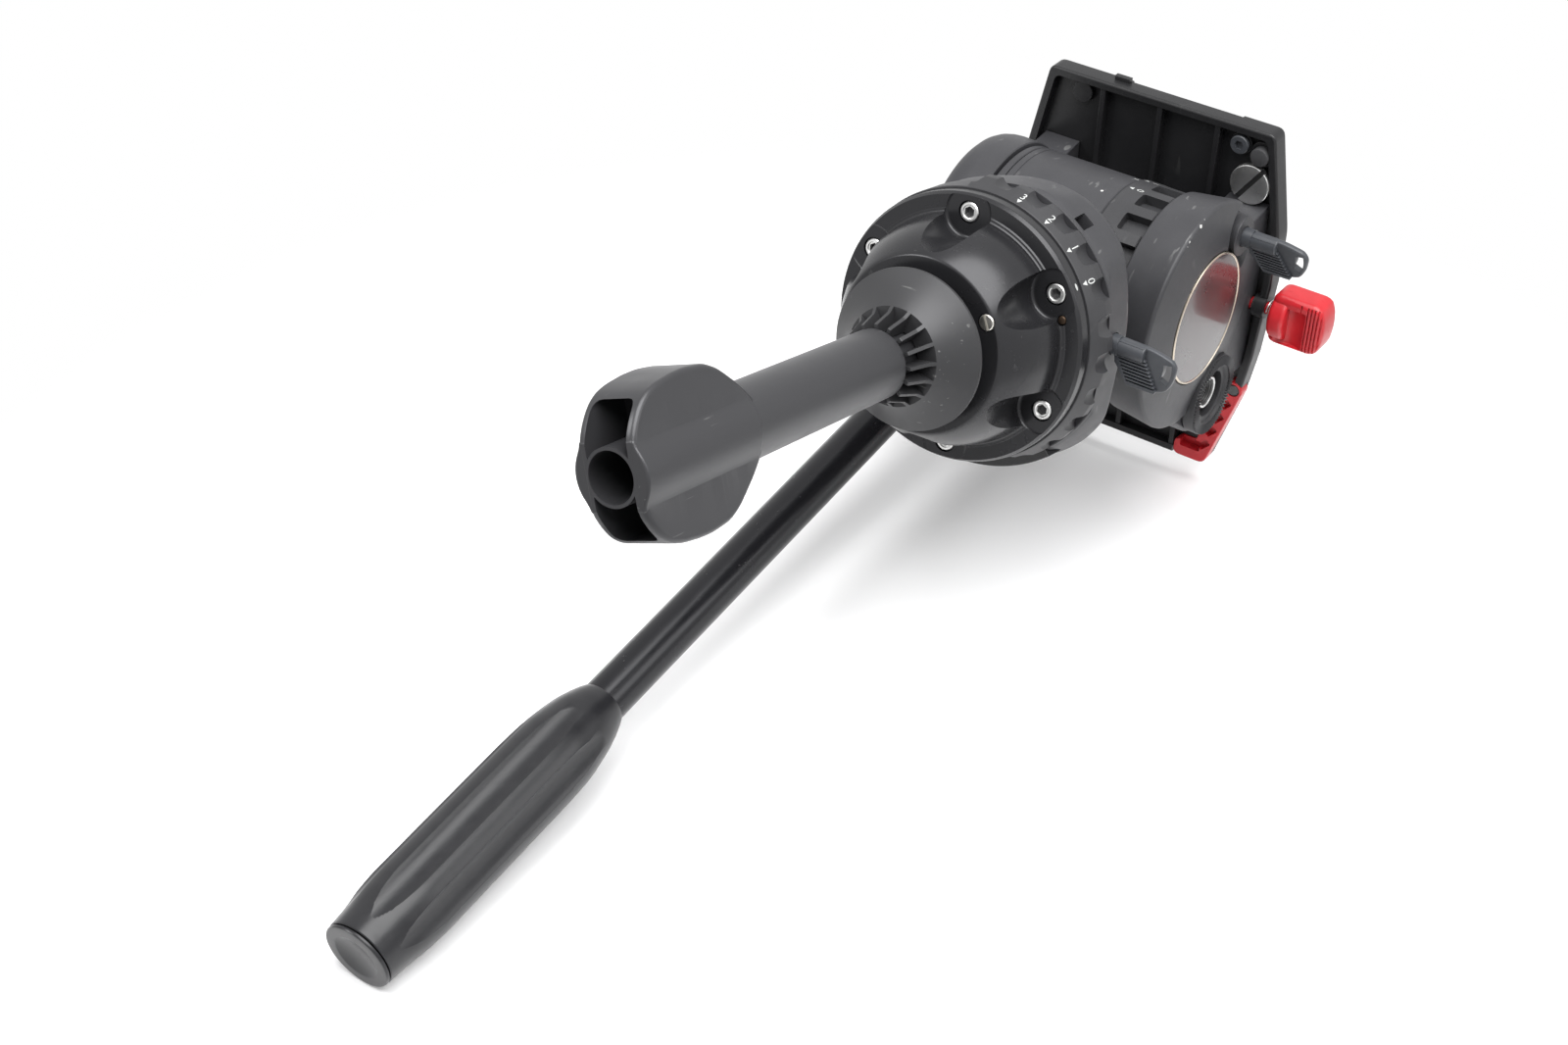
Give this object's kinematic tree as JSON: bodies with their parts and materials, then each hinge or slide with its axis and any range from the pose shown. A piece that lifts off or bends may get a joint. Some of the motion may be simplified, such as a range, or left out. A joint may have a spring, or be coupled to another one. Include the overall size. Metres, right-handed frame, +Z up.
{
  "type": "fluid video head",
  "caption": "Tripod video head: half ball with tie-down handle, pan base with drag ring, tilt drum between cheeks, camera platform with clamp, and a pan bar with a fluted grip.",
  "frame": {"origin": "centre of the half ball, in the plane of the flange's seat, on the pan axis", "axes": "+Z up along the pan axis towards the platform, +Y towards the lens end of the platform, -X towards the operator's side with the brake levers; the platform is stored with its lens end 12.6 degrees down, as pictured"},
  "size_m": [0.1515, 0.2545, 0.3564],
  "materials": {
    "cast_charcoal": "fine matt charcoal paint on castings",
    "satin_black": "satin black anodised",
    "ring_plastic": "matt moulded",
    "gloss_black": "gloss black",
    "lever_grey": "mid grey moulded with fine ribs",
    "grip_rubber": "satin black with long flutes",
    "red_plastic": "semi-gloss red",
    "bright_steel": "bright turned steel",
    "brass": "turned",
    "badge_bronze": "dark glossy bronze disc, bare",
    "level_fluid": "yellow-green liquid under clear cover"
  },
  "bodies": {
    "ball": {"half_ball": "satin_black", "flange_screw_1": "bright_steel", "flange_screw_2": "bright_steel", "flange_screw_3": "bright_steel", "flange_screw_4": "bright_steel", "flange_screw_5": "bright_steel", "flange_screw_6": "bright_steel", "flange_pin": "brass", "ball_stop_screw": "bright_steel", "pan_spindle": "bright_steel", "spindle_ring_nut": "bright_steel", "carrier_plate": "cast_charcoal", "pan_bearing": "bright_steel", "tie_down_stud": "bright_steel"},
    "washer": {"clamp_washer": "satin_black"},
    "handle": {"tie_down_handle": "grip_rubber", "tie_down_nut": "brass"},
    "pan_ring": {"pan_drag_ring": "ring_plastic"},
    "pan": {"pan_housing": "cast_charcoal", "level_cover": "gloss_black", "level_vial": "level_fluid", "pan_damper": "satin_black", "pan_brake_band": "bright_steel", "spindle_nut": "brass", "drum_cover": "cast_charcoal", "tilt_damper": "satin_black", "counterbalance_spring": "bright_steel"},
    "pan_brake": {"pan_brake_lever": "lever_grey"},
    "tilt_ring": {"tilt_drag_ring": "ring_plastic"},
    "tilt": {"platform": "cast_charcoal", "left_cheek": "cast_charcoal", "right_cheek": "cast_charcoal", "left_cheek_rosette": "ring_plastic", "right_cheek_rosette": "ring_plastic", "left_cheek_insert": "bright_steel", "right_cheek_insert": "bright_steel", "left_cheek_screw_1": "bright_steel", "left_cheek_screw_2": "bright_steel", "right_cheek_screw_1": "bright_steel", "right_cheek_screw_2": "bright_steel", "tilt_axle": "bright_steel", "badge": "badge_bronze", "spare_screw": "bright_steel", "small_spare_screw": "bright_steel", "catch_pin": "bright_steel"},
    "tilt_brake": {"tilt_brake_lever": "lever_grey"},
    "knob": {"clamp_knob": "red_plastic", "clamp_spring": "bright_steel"},
    "jaw": {"clamp_jaw": "bright_steel"},
    "catch": {"corner_catch": "red_plastic"},
    "button": {"lock_button": "lever_grey"},
    "dial": {"counterbalance_dial": "ring_plastic"},
    "bar": {"bar_bracket": "cast_charcoal", "bar_tube": "satin_black", "bar_plug": "ring_plastic", "bar_grip": "grip_rubber", "bar_cap": "ring_plastic"},
    "bar_knob": {"bar_bolt": "ring_plastic"}
  },
  "joints": [
    {"name": "washer_slide", "type": "slide", "parent": "ball", "child": "washer", "axis": [0, 0, 1], "range_m": [-0.01, 0.0045]},
    {"name": "tie_down_turn", "type": "hinge", "parent": "washer", "child": "handle", "pos_m": [0, 0, 0], "axis": [0, 0, 1], "range_deg": [-2400, 1080]},
    {"name": "pan_drag_turn", "type": "hinge", "parent": "ball", "child": "pan_ring", "pos_m": [0, 0, 0.0112], "axis": [0, 0, 1], "range_deg": [0, 43.2]},
    {"name": "pan_turn", "type": "hinge", "parent": "ball", "child": "pan", "pos_m": [0, 0, 0.0336], "axis": [0, 0, 1], "continuous": true},
    {"name": "pan_brake_turn", "type": "hinge", "parent": "pan", "child": "pan_brake", "pos_m": [-0.0455, 0.0055, 0.0222], "axis": [-1, 0, 0], "range_deg": [0, 60]},
    {"name": "tilt_drag_turn", "type": "hinge", "parent": "pan", "child": "tilt_ring", "pos_m": [-0.02, 0, 0.089], "axis": [1, 0, 0], "range_deg": [0, 54]},
    {"name": "tilt_turn", "type": "hinge", "parent": "pan", "child": "tilt", "pos_m": [0, 0, 0.089], "axis": [1, 0, 0], "range_deg": [-50, 82]},
    {"name": "tilt_brake_turn", "type": "hinge", "parent": "tilt", "child": "tilt_brake", "pos_m": [-0.0495, 0.02619, 0.10619], "axis": [1, 0, 0], "range_deg": [0, 60]},
    {"name": "jaw_slide", "type": "slide", "parent": "tilt", "child": "jaw", "axis": [1, 0, 0], "range_m": [0, 0.002]},
    {"name": "knob_turn", "type": "hinge", "parent": "tilt", "child": "knob", "pos_m": [-0.065, -0.00596, 0.13789], "axis": [1, 0, 0], "range_deg": [0, 900]},
    {"name": "catch_turn", "type": "hinge", "parent": "tilt", "child": "catch", "pos_m": [-0.04396, -0.05244, 0.10075], "axis": [0, -0.2187, -0.9758], "range_deg": [0, 18], "stiffness_Nm_per_rad": 0.02, "springref_deg": -11.46},
    {"name": "button_slide", "type": "slide", "parent": "tilt", "child": "button", "axis": [0, 0.2187, 0.9758], "range_m": [0, 0.0018], "stiffness_N_per_m": 200, "springref_m": -0.002},
    {"name": "dial_turn", "type": "hinge", "parent": "tilt", "child": "dial", "pos_m": [0.05, 0, 0.089], "axis": [1, 0, 0], "continuous": true},
    {"name": "bar_turn", "type": "hinge", "parent": "tilt", "child": "bar", "pos_m": [0.057, -0.03418, 0.11254], "axis": [1, 0, 0], "range_deg": [-95, 50]},
    {"name": "bar_knob_turn", "type": "hinge", "parent": "bar", "child": "bar_knob", "pos_m": [0.07, -0.03418, 0.11254], "axis": [1, 0, 0], "range_deg": [-720, 0]}
  ],
  "couplings": [
    {"joint": "washer_slide", "follows": "tie_down_turn", "m_per_rad": 0.00023873},
    {"joint": "jaw_slide", "follows": "knob_turn", "m_per_rad": 0.00012732}
  ]
}
